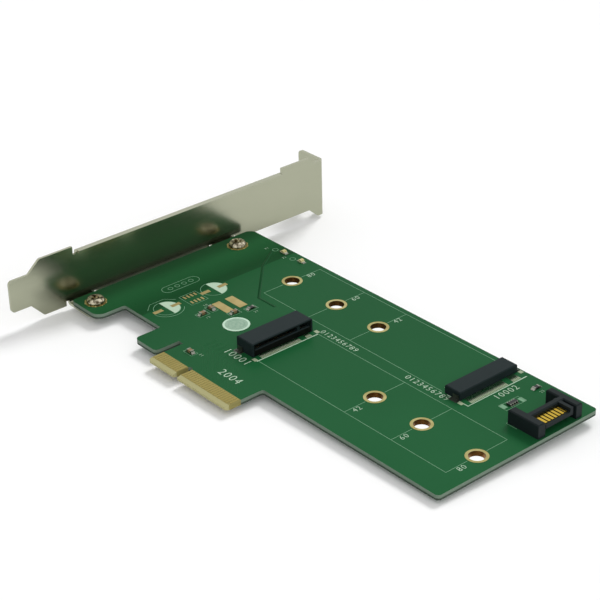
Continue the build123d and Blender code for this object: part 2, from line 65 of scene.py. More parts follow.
# A socket of any node tree that adds and multiplies in plain expressions
class Wire:
    def __init__(self, tree, socket):
        self.tree, self.socket = tree, socket

    def calc(self, operation, first, second=None):
        return self.tree.add("ShaderNodeMath", {"operation": operation}, [first, second])

    def __add__(self, other):
        return self.calc("ADD", self, other)

    def __sub__(self, other):
        return self.calc("SUBTRACT", self, other)

    def __rsub__(self, other):
        return self.calc("SUBTRACT", other, self)

    def __mul__(self, other):
        return self.calc("MULTIPLY", self, other)

    def __gt__(self, other):
        return self.calc("GREATER_THAN", self, other)

    def __lt__(self, other):
        return self.calc("LESS_THAN", self, other)

    def size(self):
        return self.calc("ABSOLUTE", self)

    def wave(self):
        return self.calc("SINE", self)

    def most(self, other):
        return self.calc("MAXIMUM", self, other)

    __radd__, __rmul__ = __add__, __mul__


class Tree:
    def __init__(self, nodeTree):
        self.nodeTree = nodeTree

    # settings are set before the sockets, which take values or wires
    def add(self, kind, settings=None, sockets=None, output=0):
        node = self.nodeTree.nodes.new(kind)
        for name, value in (settings or {}).items():
            setattr(node, name, value)
        pairs = sockets.items() if isinstance(sockets, dict) else enumerate(sockets or [])
        for name, value in pairs:
            if isinstance(value, Wire):
                self.nodeTree.links.new(value.socket, node.inputs[name])
            elif value is not None:
                node.inputs[name].default_value = value
        return Wire(self, node.outputs[output])


def splitPlace(tree, place):
    return [tree.add("ShaderNodeSeparateXYZ", {}, [place], axis) for axis in range(3)]


def distance(tree, place, point):
    return tree.add("ShaderNodeVectorMath", {"operation": "DISTANCE"}, [place, tuple(point)], 1)


def nearAny(tree, place, points, radius):  # 1 within radius mm of any of the points
    near = [distance(tree, place, point) < radius * mm for point in points]
    found = near[0]
    for other in near[1:]:
        found = found.most(other)
    return found


def endSurface(tree, surface, kind="ShaderNodeOutputMaterial"):
    node = tree.nodeTree.nodes.new(kind)
    tree.nodeTree.links.new(surface.socket, node.inputs["Surface"])


def newMaterial(name):
    material = bpy.data.materials.new(name)
    material.use_nodes = True
    material.node_tree.nodes.clear()
    return material, Tree(material.node_tree)


def paint(red, green, blue):  # a screen colour, 0 to 255, as a linear one
    def linear(value):
        share = value / 255
        return share / 12.92 if share <= 0.04045 else ((share + 0.055) / 1.055) ** 2.4
    return (linear(red), linear(green), linear(blue), 1)


# The loose parts of a CAD node, each as its low and high corner in mm
def looseBoxes(nodeName):
    whole = bmesh.new()
    whole.from_mesh(cad[nodeName].data)
    bmesh.ops.remove_doubles(whole, verts=whole.verts, dist=1e-6)
    boxes, left = [], set(whole.verts)
    while left:
        found = [left.pop()]
        for vertex in found:
            for edge in vertex.link_edges:
                other = edge.other_vert(vertex)
                if other in left:
                    left.remove(other)
                    found.append(other)
        corners = [[v.co[axis] / mm for v in found] for axis in range(3)]
        boxes.append((Vector(min(c) for c in corners), Vector(max(c) for c in corners)))
    whole.free()
    return sorted(boxes, key=lambda box: (round(box[0].x, 2), round(box[0].y, 2)))


moduleHoles = [(low + high) / 2 for name in ("hole_linings_a", "hole_linings_b")
               for low, high in looseBoxes(name)]
screwPlaces = [(low + high) / 2 for low, high in looseBoxes("screw_lands")]

# Camera, floor and light come first
photoCamera = {
    "azimuth": 50.142, "elevation": 28.79, "roll": -1.424,  # degrees
    "target": (-9.12, 51.987, 0.785), "distance": 519.393,  # mm
    "focalPixels": 1767.04, "imagePixels": 600, "filmWidth": 36,
}


def cameraAxes(spec):  # right, up and back
    azimuth, elevation, roll = (math.radians(spec[k]) for k in ("azimuth", "elevation", "roll"))
    level = math.cos(elevation)
    back = Vector((math.sin(azimuth) * level, -math.cos(azimuth) * level, math.sin(elevation)))
    right = Vector((math.cos(azimuth), math.sin(azimuth), 0))
    up = back.cross(right)
    return (
        math.cos(roll) * right + math.sin(roll) * up,
        math.cos(roll) * up - math.sin(roll) * right,
        back,
    )


def placeCamera(spec):
    axes = cameraAxes(spec)
    data = bpy.data.cameras.new("photoCamera")
    data.sensor_width = spec["filmWidth"]
    data.lens = spec["focalPixels"] * spec["filmWidth"] / spec["imagePixels"]
    data.clip_start, data.clip_end = 0.01, 20
    camera = bpy.data.objects.new("photoCamera", data)
    place = (Vector(spec["target"]) + axes[2] * spec["distance"]) * mm
    camera.matrix_world = Matrix.Translation(place) @ Matrix(axes).transposed().to_4x4()
    scene.collection.objects.link(camera)
    scene.camera = camera


# The card lies as it comes to rest, on the lowest face of its hull under its centre
def restingPlane():
    hull = bmesh.new()
    for node in cad.values():
        for vertex in node.data.vertices:
            hull.verts.new(vertex.co)
    bmesh.ops.convex_hull(hull, input=hull.verts)
    centre = (cadBox[0] + cadBox[1]) / 2
    best = None
    for face in hull.faces:
        normal = face.normal if face.normal.z > 0 else -face.normal
        if normal.z < studio["steepestRest"]:
            continue
        corners = [v.co.xy for v in face.verts]
        turns = [(corner - corners[i - 1]).cross(centre.xy - corners[i - 1])
                 for i, corner in enumerate(corners)]
        inside = min(turns) > 0 or max(turns) < 0
        middle = face.calc_center_median()
        if inside and (best is None or middle.z < best[0].z):
            best = (middle.copy(), normal.copy())
    hull.free()
    return best


studio = {
    "floorSide": 30.0, "floorDrop": 0.0010,  # m; the drop below the lowest face gives the soft edge
    "steepestRest": 0.9,  # lowest upward share of a face that the card may lie on
    "floorColour": (246, 246, 246), "floorGlow": 0.04,
    "holeGlow": 0.9, "holeGlowRadius": 2.3,  # radius in mm
    "worldFill": 0.64,
    "lamps": {
        "key": {"strength": 1.67, "angle": 20, "from": (-0.42, 1.15, 1.1), "shine": False, "shadow": True},
        "side": {"strength": 0.62, "angle": 38, "from": (1.0, -0.1, 0.36), "shine": False, "shadow": False},
    },
}


def seenDirectly(tree):  # rays from the camera, and those that metal or glass send on
    rays = [tree.add("ShaderNodeLightPath", output=name) for name in
            ("Is Camera Ray", "Is Glossy Ray", "Is Transmission Ray")]
    return rays[0].most(rays[1]).most(rays[2])


def makeFloor(spec):
    point, normal = restingPlane()
    point = point - normal * spec["floorDrop"]
    side = spec["floorSide"] / 2
    corners = [(-side, -side, 0), (side, -side, 0), (side, side, 0), (-side, side, 0)]
    mesh = bpy.data.meshes.new("floor")
    mesh.from_pydata(corners, [], [(0, 1, 2, 3)])
    floor = bpy.data.objects.new("floor", mesh)
    scene.collection.objects.link(floor)
    floor.matrix_world = Matrix.Translation(point) @ normal.to_track_quat("Z", "Y").to_matrix().to_4x4()
    material, tree = newMaterial("paleFloor")
    # painted light: the floor glows in spots where this one camera sees it through each module hole, so these
    # stay white, as over a light table
    sight = -cameraAxes(photoCamera)[2]
    spots = []
    for hole in moduleHoles:
        start = Vector((hole.x, hole.y, boardBottom)) * mm
        reach = (point - start).dot(normal) / sight.dot(normal)
        spots.append(floor.matrix_world.inverted() @ (start + sight * reach))
    holeGlowSpots = nearAny(tree, tree.add("ShaderNodeTexCoord", output="Object"), spots, spec["holeGlowRadius"])
    matte = tree.add("ShaderNodeBsdfDiffuse", {}, {"Color": paint(*spec["floorColour"])})
    strength = seenDirectly(tree) * (holeGlowSpots * spec["holeGlow"] + spec["floorGlow"])
    glow = tree.add("ShaderNodeEmission", {}, {"Strength": strength})
    endSurface(tree, tree.add("ShaderNodeAddShader", {}, [matte, glow]))
    mesh.materials.append(material)


def lightStudio(spec):
    world = bpy.data.worlds.new("studioWorld")
    world.use_nodes = True
    world.node_tree.nodes.clear()
    tree = Tree(world.node_tree)
    direct = seenDirectly(tree)
    strength = direct + (1 - direct) * spec["worldFill"]
    sky = tree.add("ShaderNodeBackground", {}, {"Color": (1, 1, 1, 1), "Strength": strength})
    endSurface(tree, sky, "ShaderNodeOutputWorld")
    scene.world = world
    for name, lamp in spec["lamps"].items():
        data = bpy.data.lights.new(name + "Lamp", "SUN")
        data.energy, data.angle = lamp["strength"], math.radians(lamp["angle"])
        data.use_shadow = lamp["shadow"]
        holder = bpy.data.objects.new(name + "Lamp", data)
        holder.visible_glossy = lamp["shine"]
        away = Vector(lamp["from"])
        turn = away.to_track_quat("Z", "Y").to_matrix().to_4x4()
        holder.matrix_world = Matrix.Translation(away) @ turn
        scene.collection.objects.link(holder)


placeCamera(photoCamera)
makeFloor(studio)
lightStudio(studio)
print("camera, floor and lights are in place")


# Materials
def objectPlace(tree):
    return tree.add("ShaderNodeTexCoord", output="Object")


def grain(tree, place, scale, detail=2, stretch=(1, 1, 1)):
    spread = tree.add("ShaderNodeMapping", {}, {"Vector": place, "Scale": stretch})
    return tree.add("ShaderNodeTexNoise", {}, {"Vector": spread, "Scale": scale, "Detail": detail})


def blend(tree, share, first, second):
    return tree.add("ShaderNodeMix", {"data_type": "RGBA"}, {0: share, 6: first, 7: second}, 2)


def bump(tree, height, depth):
    return tree.add("ShaderNodeBump", {}, {"Height": height, "Distance": depth})


def rise(tree, value, low, high):  # 0 below low, 1 above high
    return tree.add("ShaderNodeMapRange", {"clamp": True}, [value, low, high, 0, 1])


def principled(material, tree, sockets):
    endSurface(tree, tree.add("ShaderNodeBsdfPrincipled", {}, sockets))
    return material


maskLook = {
    "green": (25, 84, 46), "deepGreen": (19, 73, 38), "farGreen": (32, 93, 54), "traceGreen": (34, 92, 54),
    # the second edge colour on the next line is painted shade for the lowest part of the board's edge
    "laminate": (118, 136, 120), "lowLaminate": (66, 78, 68), "lowFrom": -0.2,
    "bareLaminate": (146, 138, 84), "underRing": (196, 182, 120),
    "bevelLaminate": (176, 172, 126), "bevelEdge": 0.42,
    "bareEdge": 4.4, "tabLeft": -12.6, "greenFrom": -40, "greenTo": 85,  # mm
    # the first two colours on the next line are painted light beside the bracket: a painted reflection of the
    # bracket and a painted shade band, whose place in mm follows
    "bracketReflectionGreen": (34, 92, 52), "bandGreen": (14, 62, 30), "gapGreen": (16, 66, 34),
    "bandFrom": -47, "bandDarkest": -36, "bandEnd": -33.2,  # mm
    "underRingRadius": 3.15, "roughness": 0.3, "specular": 0.04, "weavePitch": 0.55, "bumpDepth": 0.004,
}


def maskMaterial(name, spec, plain=""):  # plain names the one green of a line under the mask
    material, tree = newMaterial(name)
    place = objectPlace(tree)
    x, y, z = splitPlace(tree, place)
    cloud = rise(tree, grain(tree, place, 12, 3), 0.35, 0.65)
    speck = grain(tree, place, 900, 2)
    if plain:
        colour = blend(tree, cloud * 0.4, paint(*spec[plain]), paint(*spec["green"]))
    else:
        along = rise(tree, x, spec["greenFrom"] * mm, spec["greenTo"] * mm)
        base = blend(tree, along, paint(*spec["green"]), paint(*spec["farGreen"]))
        # painted light: on the top face the green beside the bracket is lighter, as a painted reflection of
        # the bracket, then darkens into a painted shade band that ends at bandEnd
        reflectionToShade = rise(tree, x, spec["bandFrom"] * mm, spec["bandDarkest"] * mm)
        near = blend(tree, reflectionToShade, paint(*spec["bracketReflectionGreen"]), paint(*spec["bandGreen"]))
        base = blend(tree, (x < spec["bandEnd"] * mm) * (z > 0), base, near)
        colour = blend(tree, cloud * 0.4 + speck * 0.1, base, paint(*spec["deepGreen"]))
        centres = [(hole.x * mm, hole.y * mm, boardBottom * mm) for hole in moduleHoles]
        ring = nearAny(tree, place, centres, spec["underRingRadius"])
        colour = blend(tree, ring * (z < 0), colour, paint(*spec["underRing"]))
        fibres = rise(tree, grain(tree, place, 1500, 3, (0.2, 0.2, 3)), 0.3, 0.7)
        dark = paint(*(value * 0.84 for value in spec["laminate"]))
        edge = blend(tree, fibres * 0.6, paint(*spec["laminate"]), dark)
        # painted shade: the lowest part of the board's edge is darker, as the shadow under the board
        edge = blend(tree, z < spec["lowFrom"] * mm, edge, paint(*spec["lowLaminate"]))
        colour = blend(tree, z.size() < (boardTop - 0.02) * mm, colour, edge)
        dull = paint(*(value * 0.85 for value in spec["bareLaminate"]))
        bare = blend(tree, speck * 0.5, paint(*spec["bareLaminate"]), dull)
        bare = blend(tree, y < spec["bevelEdge"] * mm, bare, paint(*spec["bevelLaminate"]))
        colour = blend(tree, (y < spec["bareEdge"] * mm) * (x > spec["tabLeft"] * mm), colour, bare)
    pitch = math.pi * 2 / (spec["weavePitch"] * mm)
    height = (x * pitch).wave() * (y * pitch).wave() * 0.25 + grain(tree, place, 260, 2) * 0.8
    return principled(material, tree, {
        "Base Color": colour, "Roughness": speck * 0.1 + (spec["roughness"] - 0.05),
        "Specular IOR Level": spec["specular"], "Normal": bump(tree, height, spec["bumpDepth"] * mm),
    })


# colour, a colour for wear (on the nickel, painted reflections) and its share and patch scale, roughness,
# grain scale and stretch, bump depth in mm;
# the entry for lower parts gives another colour for what lies lower than a height over the board's top, in
# mm: the pale feet of the springs, and painted shade on the walls inside the hole linings
metalLook = {
    "bracket": {"colour": (170, 172, 151), "wearAndReflection": (163, 166, 145), "share": 0.6, "patch": 35, "rough": 0.22,
                "scale": 700, "stretch": (1, 0.12, 1.6), "depth": 0.0003},
    # painted reflections: the screws' fine dark brown patches stand in for reflections of their dark and gold
    # surroundings
    "nickel": {"colour": (222, 214, 188), "wearAndReflection": (66, 56, 34), "share": 1.0, "patch": 950, "rough": 0.15,
               "scale": 500, "stretch": (1, 1, 1), "depth": 0.003},
    "fingerGold": {"colour": (160, 146, 82), "wearAndReflection": (144, 130, 66), "share": 0.8, "patch": 35, "rough": 0.28,
                   "scale": 600, "stretch": (1, 1, 1), "depth": 0.002},
    "springGold": {"colour": (150, 128, 66), "wearAndReflection": (120, 96, 44), "share": 0.8, "patch": 200, "rough": 0.28,
                   "scale": 600, "stretch": (1, 1, 1), "depth": 0.002, "below": (0.2, (148, 154, 140))},
    "rimGold": {"colour": (188, 178, 120), "wearAndReflection": (164, 152, 92), "share": 0.8, "patch": 300, "rough": 0.3,
                # painted shade: below the board's top the walls inside the hole linings are a darker brown
                "scale": 600, "stretch": (1, 1, 1), "depth": 0.002, "below": (-0.02, (132, 92, 46))},
    "landGold": {"colour": (190, 172, 116), "wearAndReflection": (172, 154, 98), "share": 0.8, "patch": 300, "rough": 0.33,
                 "scale": 500, "stretch": (1, 1, 1), "depth": 0.004},
    "pinGold": {"colour": (204, 172, 58), "wearAndReflection": (170, 136, 36), "share": 0.8, "patch": 35, "rough": 0.2,
                "scale": 600, "stretch": (1, 1, 1), "depth": 0.002},
    "dullTin": {"colour": (88, 94, 86), "wearAndReflection": (70, 76, 68), "share": 0.8, "patch": 500, "rough": 0.4,
                "scale": 900, "stretch": (1, 1, 1), "depth": 0.004},
    "tin": {"colour": (158, 162, 150), "wearAndReflection": (120, 126, 114), "share": 0.8, "patch": 500, "rough": 0.26,
            "scale": 900, "stretch": (1, 1, 1), "depth": 0.006},
}


def metalMaterial(name, look):
    material, tree = newMaterial(name)
    place = objectPlace(tree)
    streak = rise(tree, grain(tree, place, look["scale"], 3, look["stretch"]), 0.3, 0.7)
    cloud = rise(tree, grain(tree, place, look["patch"], 3), 0.4, 0.6)
    share = (cloud * 0.75 + streak * 0.25) * look["share"]
    colour = blend(tree, share, paint(*look["colour"]), paint(*look["wearAndReflection"]))
    if "below" in look:
        height, lower = look["below"]
        colour = blend(tree, splitPlace(tree, place)[2] < (boardTop + height) * mm, colour, paint(*lower))
    return principled(material, tree, {
        "Base Color": colour, "Metallic": 1.0, "Roughness": streak * 0.04 + (look["rough"] - 0.02),
        "Normal": bump(tree, streak, look["depth"] * mm),
    })


# shade is painted shade, a dark box on socket A's front below its mouth: its low and high corner in mm, and
# its colour
plasticLook = {
    "socketA": {"colour": (26, 36, 37), "rough": 0.42, "specular": 0.07,
                "shade": ((7.2, 21.3, 0.9), (7.4, 42.1, 4.6), (8, 11, 9))},
    "socketB": {"colour": (26, 36, 37), "rough": 0.42, "specular": 0.07},
    "header": {"colour": (25, 32, 33), "rough": 0.38, "specular": 0.08},
    "ceramic": {"colour": (122, 100, 72), "rough": 0.5, "specular": 0.3},
    "glaze": {"colour": (24, 25, 25), "rough": 0.25, "specular": 0.3},
    "lampBase": {"colour": (178, 176, 146), "rough": 0.5, "specular": 0.3},
    "ink": {"colour": (112, 152, 122), "rough": 0.6, "specular": 0.1},
    "paleLand": {"colour": (146, 158, 130), "rough": 0.45, "specular": 0.3},
    "paleInk": {"colour": (168, 190, 168), "rough": 0.6, "specular": 0.1},
}


def plasticMaterial(name, look):
    material, tree = newMaterial(name)
    place = objectPlace(tree)
    fine = grain(tree, place, 2600, 2)
    pale = tuple(min(255, value * 1.14 + 3) for value in look["colour"])
    share = fine * 0.4 + grain(tree, place, 120, 2) * 0.4
    colour = blend(tree, share, paint(*look["colour"]), paint(*pale))
    if "shade" in look:
        # painted shade: what lies inside the shade box takes the dark colour
        low, high, dark = look["shade"]
        x, y, z = ((along > low[axis] * mm) * (along < high[axis] * mm)
                   for axis, along in enumerate(splitPlace(tree, place)))
        colour = blend(tree, x * y * z, colour, paint(*dark))
    return principled(material, tree, {
        "Base Color": colour,
        "Roughness": fine * 0.12 + (look["rough"] - 0.06),
        "Specular IOR Level": look["specular"], "Normal": bump(tree, fine, 0.01 * mm),
    })


lensLook = {"colour": (206, 198, 140), "deep": (178, 166, 104), "rough": 0.15, "coat": 0.4}


def lensMaterial(look):
    material, tree = newMaterial("lampLens")
    haze = grain(tree, objectPlace(tree), 800, 2)
    return principled(material, tree, {
        "Base Color": blend(tree, haze, paint(*look["colour"]), paint(*look["deep"])),
        "Roughness": haze * 0.1 + look["rough"], "Coat Weight": look["coat"],
    })


labelLook = {"rim": 0.84, "rings": 24, "face": (150, 178, 157), "rimColour": (192, 220, 198),
             "mark": (122, 156, 134), "rough": 0.4}


def labelMaterial(spec):
    material, tree = newMaterial("labelFoil")
    low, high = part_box("round_label")
    centre = (low + high) / 2
    place = objectPlace(tree)
    reach = distance(tree, place, centre) * (2 / (high.x - low.x))
    rim = rise(tree, reach, spec["rim"] - 0.03, spec["rim"] + 0.03)
    rings = (reach * spec["rings"]).wave() > 0.5
    patches = rise(tree, grain(tree, place, 900, 2), 0.45, 0.55)
    marks = (rings + patches) * (1 - rim) * 0.3
    colour = blend(tree, marks, paint(*spec["face"]), paint(*spec["mark"]))
    return principled(material, tree, {
        "Base Color": blend(tree, rim, colour, paint(*spec["rimColour"])),
        "Roughness": patches * 0.1 + spec["rough"], "Specular IOR Level": 0.15,
        "Normal": bump(tree, rings, 0.01 * mm),
    })


looks = {
    "mask": maskMaterial("solderMask", maskLook),
    "trace": maskMaterial("maskOverTrace", maskLook, "traceGreen"),
    "gap": maskMaterial("maskOverGap", maskLook, "gapGreen"),
    "label": labelMaterial(labelLook),
    "lens": lensMaterial(lensLook),
}
for name, look in metalLook.items():
    looks[name] = metalMaterial(name, look)
for name, look in plasticLook.items():
    looks[name] = plasticMaterial(name + "Surface", look)

nodeLooks = {
    "circuit_board": "mask", "bracket": "bracket", "bracket_screws": "nickel", "screw_lands": "landGold",
    "edge_contacts_top": "fingerGold", "edge_contacts_bottom": "fingerGold",
    "hole_linings_a": "rimGold", "hole_linings_b": "rimGold",
    "socket_a_housing": "socketA", "socket_b_housing": "socketB",
    "socket_a_upper_contacts": "springGold", "socket_a_lower_contacts": "springGold",
    "socket_b_upper_contacts": "springGold", "socket_b_lower_contacts": "springGold",
    "socket_a_hold_downs": "dullTin", "socket_b_hold_downs": "dullTin",
    "data_header_housing": "header", "data_header_contacts": "pinGold",
    "capacitor_bodies": "ceramic", "capacitor_ends": "tin",
    "resistor_bodies": "glaze", "resistor_ends": "tin",
    "lamp_bases": "lampBase", "lamp_lenses": "lens",
    "resistor_array_body": "glaze", "resistor_array_terminals": "tin",
    "chip_lands": "tin", "bare_lands": "landGold", "round_label": "label",
}
for name, look in nodeLooks.items():
    cad[name].data.materials.clear()
    cad[name].data.materials.append(looks[look])
print("materials made:", len(looks))


# Geometry Nodes trees, their baking, and the finished pieces
def growthTree(name, inputs):
    group = bpy.data.node_groups.new(name, "GeometryNodeTree")
    group.interface.new_socket(name="Geometry", in_out="INPUT", socket_type="NodeSocketGeometry")
    for label, (kind, value) in inputs.items():
        item = group.interface.new_socket(name=label, in_out="INPUT", socket_type="NodeSocket" + kind)
        if value is not None:
            item.default_value = value
    group.interface.new_socket(name="Geometry", in_out="OUTPUT", socket_type="NodeSocketGeometry")
    tree = Tree(group)
    start = group.nodes.new("NodeGroupInput")
    given = {item.name: Wire(tree, start.outputs[item.name]) for item in group.interface.items_tree
             if item.in_out == "INPUT"}
    return tree, given


def endGrowth(tree, geometry, material):
    real = tree.add("GeometryNodeRealizeInstances", {}, [geometry])
    dressed = tree.add("GeometryNodeSetMaterial", {}, {"Geometry": real, "Material": material})
    end = tree.nodeTree.nodes.new("NodeGroupOutput")
    tree.nodeTree.links.new(dressed.socket, end.inputs[0])
    return tree.nodeTree


def bake(name, source):  # the evaluated shape of an object, as a plain mesh
    scene.collection.objects.link(source)
    graph = bpy.context.evaluated_depsgraph_get()
    result = bpy.data.meshes.new_from_object(source.evaluated_get(graph))
    result.name = name
    bpy.data.objects.remove(source)
    return result


def grow(name, mesh, group, values):
    source = bpy.data.objects.new(name + "Source", mesh)
    modifier = source.modifiers.new(group.name, "NODES")
    modifier.node_group = group
    for item in group.interface.items_tree:
        if item.in_out == "INPUT" and item.name in values:
            modifier[item.identifier] = values[item.name]
    return bake(name, source)


def joinMeshes(name, meshes):
    whole = bmesh.new()
    materials = []
    for mesh in meshes:
        before = len(whole.faces)
        whole.from_mesh(mesh)
        whole.faces.ensure_lookup_table()
        for face in whole.faces[before:]:
            material = mesh.materials[face.material_index]
            if material not in materials:
                materials.append(material)
            face.material_index = materials.index(material)
    joined = bpy.data.meshes.new(name)
    whole.to_mesh(joined)
    whole.free()
    for material in materials:
        joined.materials.append(material)
    return joined


def finishPiece(name, mesh, replaced=()):
    piece = bpy.data.objects.new(name, mesh)
    scene.collection.objects.link(piece)
    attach(piece, "root")
    if replaced:
        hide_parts(*replaced)
    print(name + ":", len(mesh.polygons), "faces")


# Printed ink and tracks: strokes along the board, swept with a thin flat section
def strokeTree(material):
    tree, given = growthTree("flatStrokes", {
        "Width": ("Float", 0.15 * mm), "Thickness": ("Float", 0.02 * mm)})
    line = tree.add("GeometryNodeMeshToCurve", {}, [given["Geometry"]])
    upright = tree.add("GeometryNodeSetCurveNormal", {"mode": "Z_UP"}, [line])
    section = tree.add("GeometryNodeCurvePrimitiveQuadrilateral", {}, {
        "Width": given["Width"], "Height": given["Thickness"]})
    swept = tree.add("GeometryNodeCurveToMesh", {}, {
        "Curve": upright, "Profile Curve": section, "Fill Caps": True})
    return endGrowth(tree, swept, material)


def sweepStrokes(name, group, paths, width, thickness, top=boardTop):
    points, edges = [], []
    for path in paths:
        first = len(points)
        points += [(x * mm, y * mm, (top + thickness / 2) * mm) for x, y in path]
        edges += [(first + i, first + i + 1) for i in range(len(path) - 1)]
    mesh = bpy.data.meshes.new(name + "Paths")
    mesh.from_pydata(points, edges, [])
    return grow(name, mesh, group, {"Width": width * mm, "Thickness": thickness * mm})


def arcPath(centre, radius, start=0, end=360, steps=48):
    turns = [math.radians(start + (end - start) * i / steps) for i in range(steps + 1)]
    return [(centre[0] + radius * math.cos(t), centre[1] + radius * math.sin(t)) for t in turns]


def boxPath(low, high):
    return [(low[0], low[1]), (high[0], low[1]), (high[0], high[1]), (low[0], high[1]), (low[0], low[1])]


outlinePrint = {
    "lineWidth": 0.15, "inkThickness": 0.02, "halfWidth": 11.0, "ringGap": 3.5,
    "socketA": {"centreY": 31.7, "startX": 8.6, "holes": (45.3, 63.3, 83.3)},
    "socketB": {"centreY": 57.95, "startX": 55.4, "holes": (18.3, 0.3, -19.7)},
}


def moduleOutlines(spec):
    paths = []
    for socket in (spec["socketA"], spec["socketB"]):
        low, high = socket["centreY"] - spec["halfWidth"], socket["centreY"] + spec["halfWidth"]
        end = socket["holes"][-1]
        paths += [[(socket["startX"], low), (end, low)], [(socket["startX"], high), (end, high)]]
        for x in socket["holes"]:
            paths.append([(x, low), (x, socket["centreY"] - spec["ringGap"])])
            paths.append([(x, socket["centreY"] + spec["ringGap"]), (x, high)])
    return paths


smallPrint = {
    "headerOval": {"centre": (-40.8, 32.0), "halfX": 1.9, "halfY": 6.6},
    "headerRings": 4, "headerPitch": 2.54, "headerRing": 0.75,
    "canCentres": ((-31.75, 20.15), (-31.8, 37.6)), "canRadius": 4.0, "canArc": 5.1,
    "lampRings": ((-38.9, 67.4), (-30.5, 67.3)), "lampRing": 0.9,
    "chipFrames": ((-6.9, 9.8, 1.9, 1.15), (-16.2, 32.9, 1.15, 1.9), (-21.8, 25.6, 1.15, 1.9),
                   (-22.6, 29.5, 1.9, 1.15), (-15.0, 38.2, 1.15, 1.9)),
    "arrayPads": ((71.6, 53.4), (72.6, 59.6)), "arrayPad": (1.1, 0.7),  # half sizes
    "driverFrame": (-31.4, 29.65, 3.2, 3.0), "arrayFrame": (72.2, 56.3, 1.5, 3.7),
    "socketLines": (((9.6, 20.2), (9.6, 42.8)), ((57.4, 46.7), (65.3, 46.7), (65.3, 69.2))),
    "socketLineWidth": 0.35, "headerLine": (77.8, 48.1, 81.5),
}


def smallMarks(spec):
    oval = spec["headerOval"]
    x, y = oval["centre"]
    straight = oval["halfY"] - oval["halfX"]
    paths = [arcPath((x, y + straight), oval["halfX"], 0, 180, 16)
             + arcPath((x, y - straight), oval["halfX"], 180, 360, 16)
             + [(x + oval["halfX"], y + straight)]]
    for i in range(spec["headerRings"]):
        place = (x, y + (i - (spec["headerRings"] - 1) / 2) * spec["headerPitch"])
        paths.append(arcPath(place, spec["headerRing"], steps=16))
    for centre in spec["canCentres"]:
        paths.append(arcPath(centre, spec["canRadius"]))
    (x, y), r = spec["canCentres"][0], spec["canArc"]
    corner = r * 0.5
    paths.append([(x - corner, y + r), (x - r, y + corner), (x - r, y - corner), (x - corner, y - r)])
    paths.append(arcPath((x, y), r, -80, 60, 24))
    paths += [arcPath(centre, spec["lampRing"], steps=20) for centre in spec["lampRings"]]
    for x, y, halfX, halfY in spec["chipFrames"] + (spec["driverFrame"], spec["arrayFrame"]):
        paths.append(boxPath((x - halfX, y - halfY), (x + halfX, y + halfY)))
    left, y, right = spec["headerLine"]
    paths.append([(left, y + 3), (left, y), (right, y)])
    return paths


# Flat printed areas: the shaded half of the two round places
def prism(name, outline, low, high, material):
    shape = bmesh.new()
    base = [shape.verts.new((x * mm, y * mm, low * mm)) for x, y in outline]
    face = shape.faces.new(base)
    if face.normal.z > 0:
        face.normal_flip()
    grown = bmesh.ops.extrude_face_region(shape, geom=[face])
    for item in grown["geom"]:
        if isinstance(item, bmesh.types.BMVert):
            item.co.z = high * mm
    bmesh.ops.recalc_face_normals(shape, faces=shape.faces)
    mesh = bpy.data.meshes.new(name)
    shape.to_mesh(mesh)
    shape.free()
    mesh.materials.append(material)
    return mesh


# Numbers: plain figures at the printed places, (text, centre x, centre y, height, way)
numberPrint = {
    "inkThickness": 0.02, "spacing": 1.15, "thinning": 0.03, "fontShare": 1.37,  # font size for 1 high
    "places": (
        ("42", 46.6, 24.2, 1.9, "y"), ("60", 64.6, 24.2, 1.9, "y"), ("80", 84.6, 25.0, 1.9, "y"),
        ("42", 19.3, 64.6, 1.9, "y"), ("60", 1.3, 64.6, 1.9, "y"), ("80", -18.7, 64.6, 1.9, "y"),
        ("10001", 4.0, 17.8, 2.8, "x"), ("2004", 10.9, 9.7, 2.9, "x"), ("10002", 67.3, 59.2, 2.3, "y"),
        ("0123456789", 16.6, 44.5, 1.95, "x"), ("0123456789", 51.3, 45.2, 2.1, "x"),
        ("11", -3.6, 11.0, 1.1, "x"), ("12", -18.6, 31.6, 1.0, "y"), ("13", -19.2, 25.6, 1.0, "y"),
        ("14", -25.6, 29.5, 1.0, "y"), ("21", -12.6, 38.2, 1.0, "y"), ("22", 73.4, 66.6, 1.0, "y"),
        ("31", -41.5, 66.0, 1.0, "y"), ("32", -33.0, 66.0, 1.0, "y"),
    ),
}


def numberMesh(text, x, y, height, way, spec):
    curve = bpy.data.curves.new("figures", "FONT")
    curve.body, curve.size = text, height * spec["fontShare"] * mm
    curve.space_character = spec["spacing"]
    curve.align_x, curve.align_y = "CENTER", "CENTER"
    curve.extrude, curve.offset = spec["inkThickness"] / 2 * mm, -spec["thinning"] * mm
    curve.resolution_u = 2
    mesh = bake("figures", bpy.data.objects.new("figures", curve))
    turn = Matrix.Rotation(math.radians(90 if way == "y" else 0), 4, "Z")
    mesh.transform(Matrix.Translation((x * mm, y * mm, (boardTop + spec["inkThickness"] / 2) * mm)) @ turn)
    mesh.materials.clear()
    mesh.materials.append(looks["paleInk"])
    return mesh


paths = moduleOutlines(outlinePrint) + smallMarks(smallPrint)
inkDepth = outlinePrint["inkThickness"]
meshes = [
    sweepStrokes("lines", strokeTree(looks["ink"]), paths, outlinePrint["lineWidth"], inkDepth),
    sweepStrokes("socketLines", strokeTree(looks["paleInk"]), smallPrint["socketLines"],
                 smallPrint["socketLineWidth"], inkDepth),
]
for centre in smallPrint["canCentres"]:
    half = arcPath(centre, smallPrint["canRadius"] - 0.1, 0, 180, 32)
    meshes.append(prism("shade", half, boardTop, boardTop + inkDepth, looks["paleInk"]))
halfX, halfY = smallPrint["arrayPad"]
for x, y in smallPrint["arrayPads"]:
    block = boxPath((x - halfX, y - halfY), (x + halfX, y + halfY))[:-1]
    meshes.append(prism("block", block, boardTop, boardTop + inkDepth, looks["ink"]))
for entry in numberPrint["places"]:
    meshes.append(numberMesh(*entry, numberPrint))
finishPiece("board_print", joinMeshes("board_print", meshes))

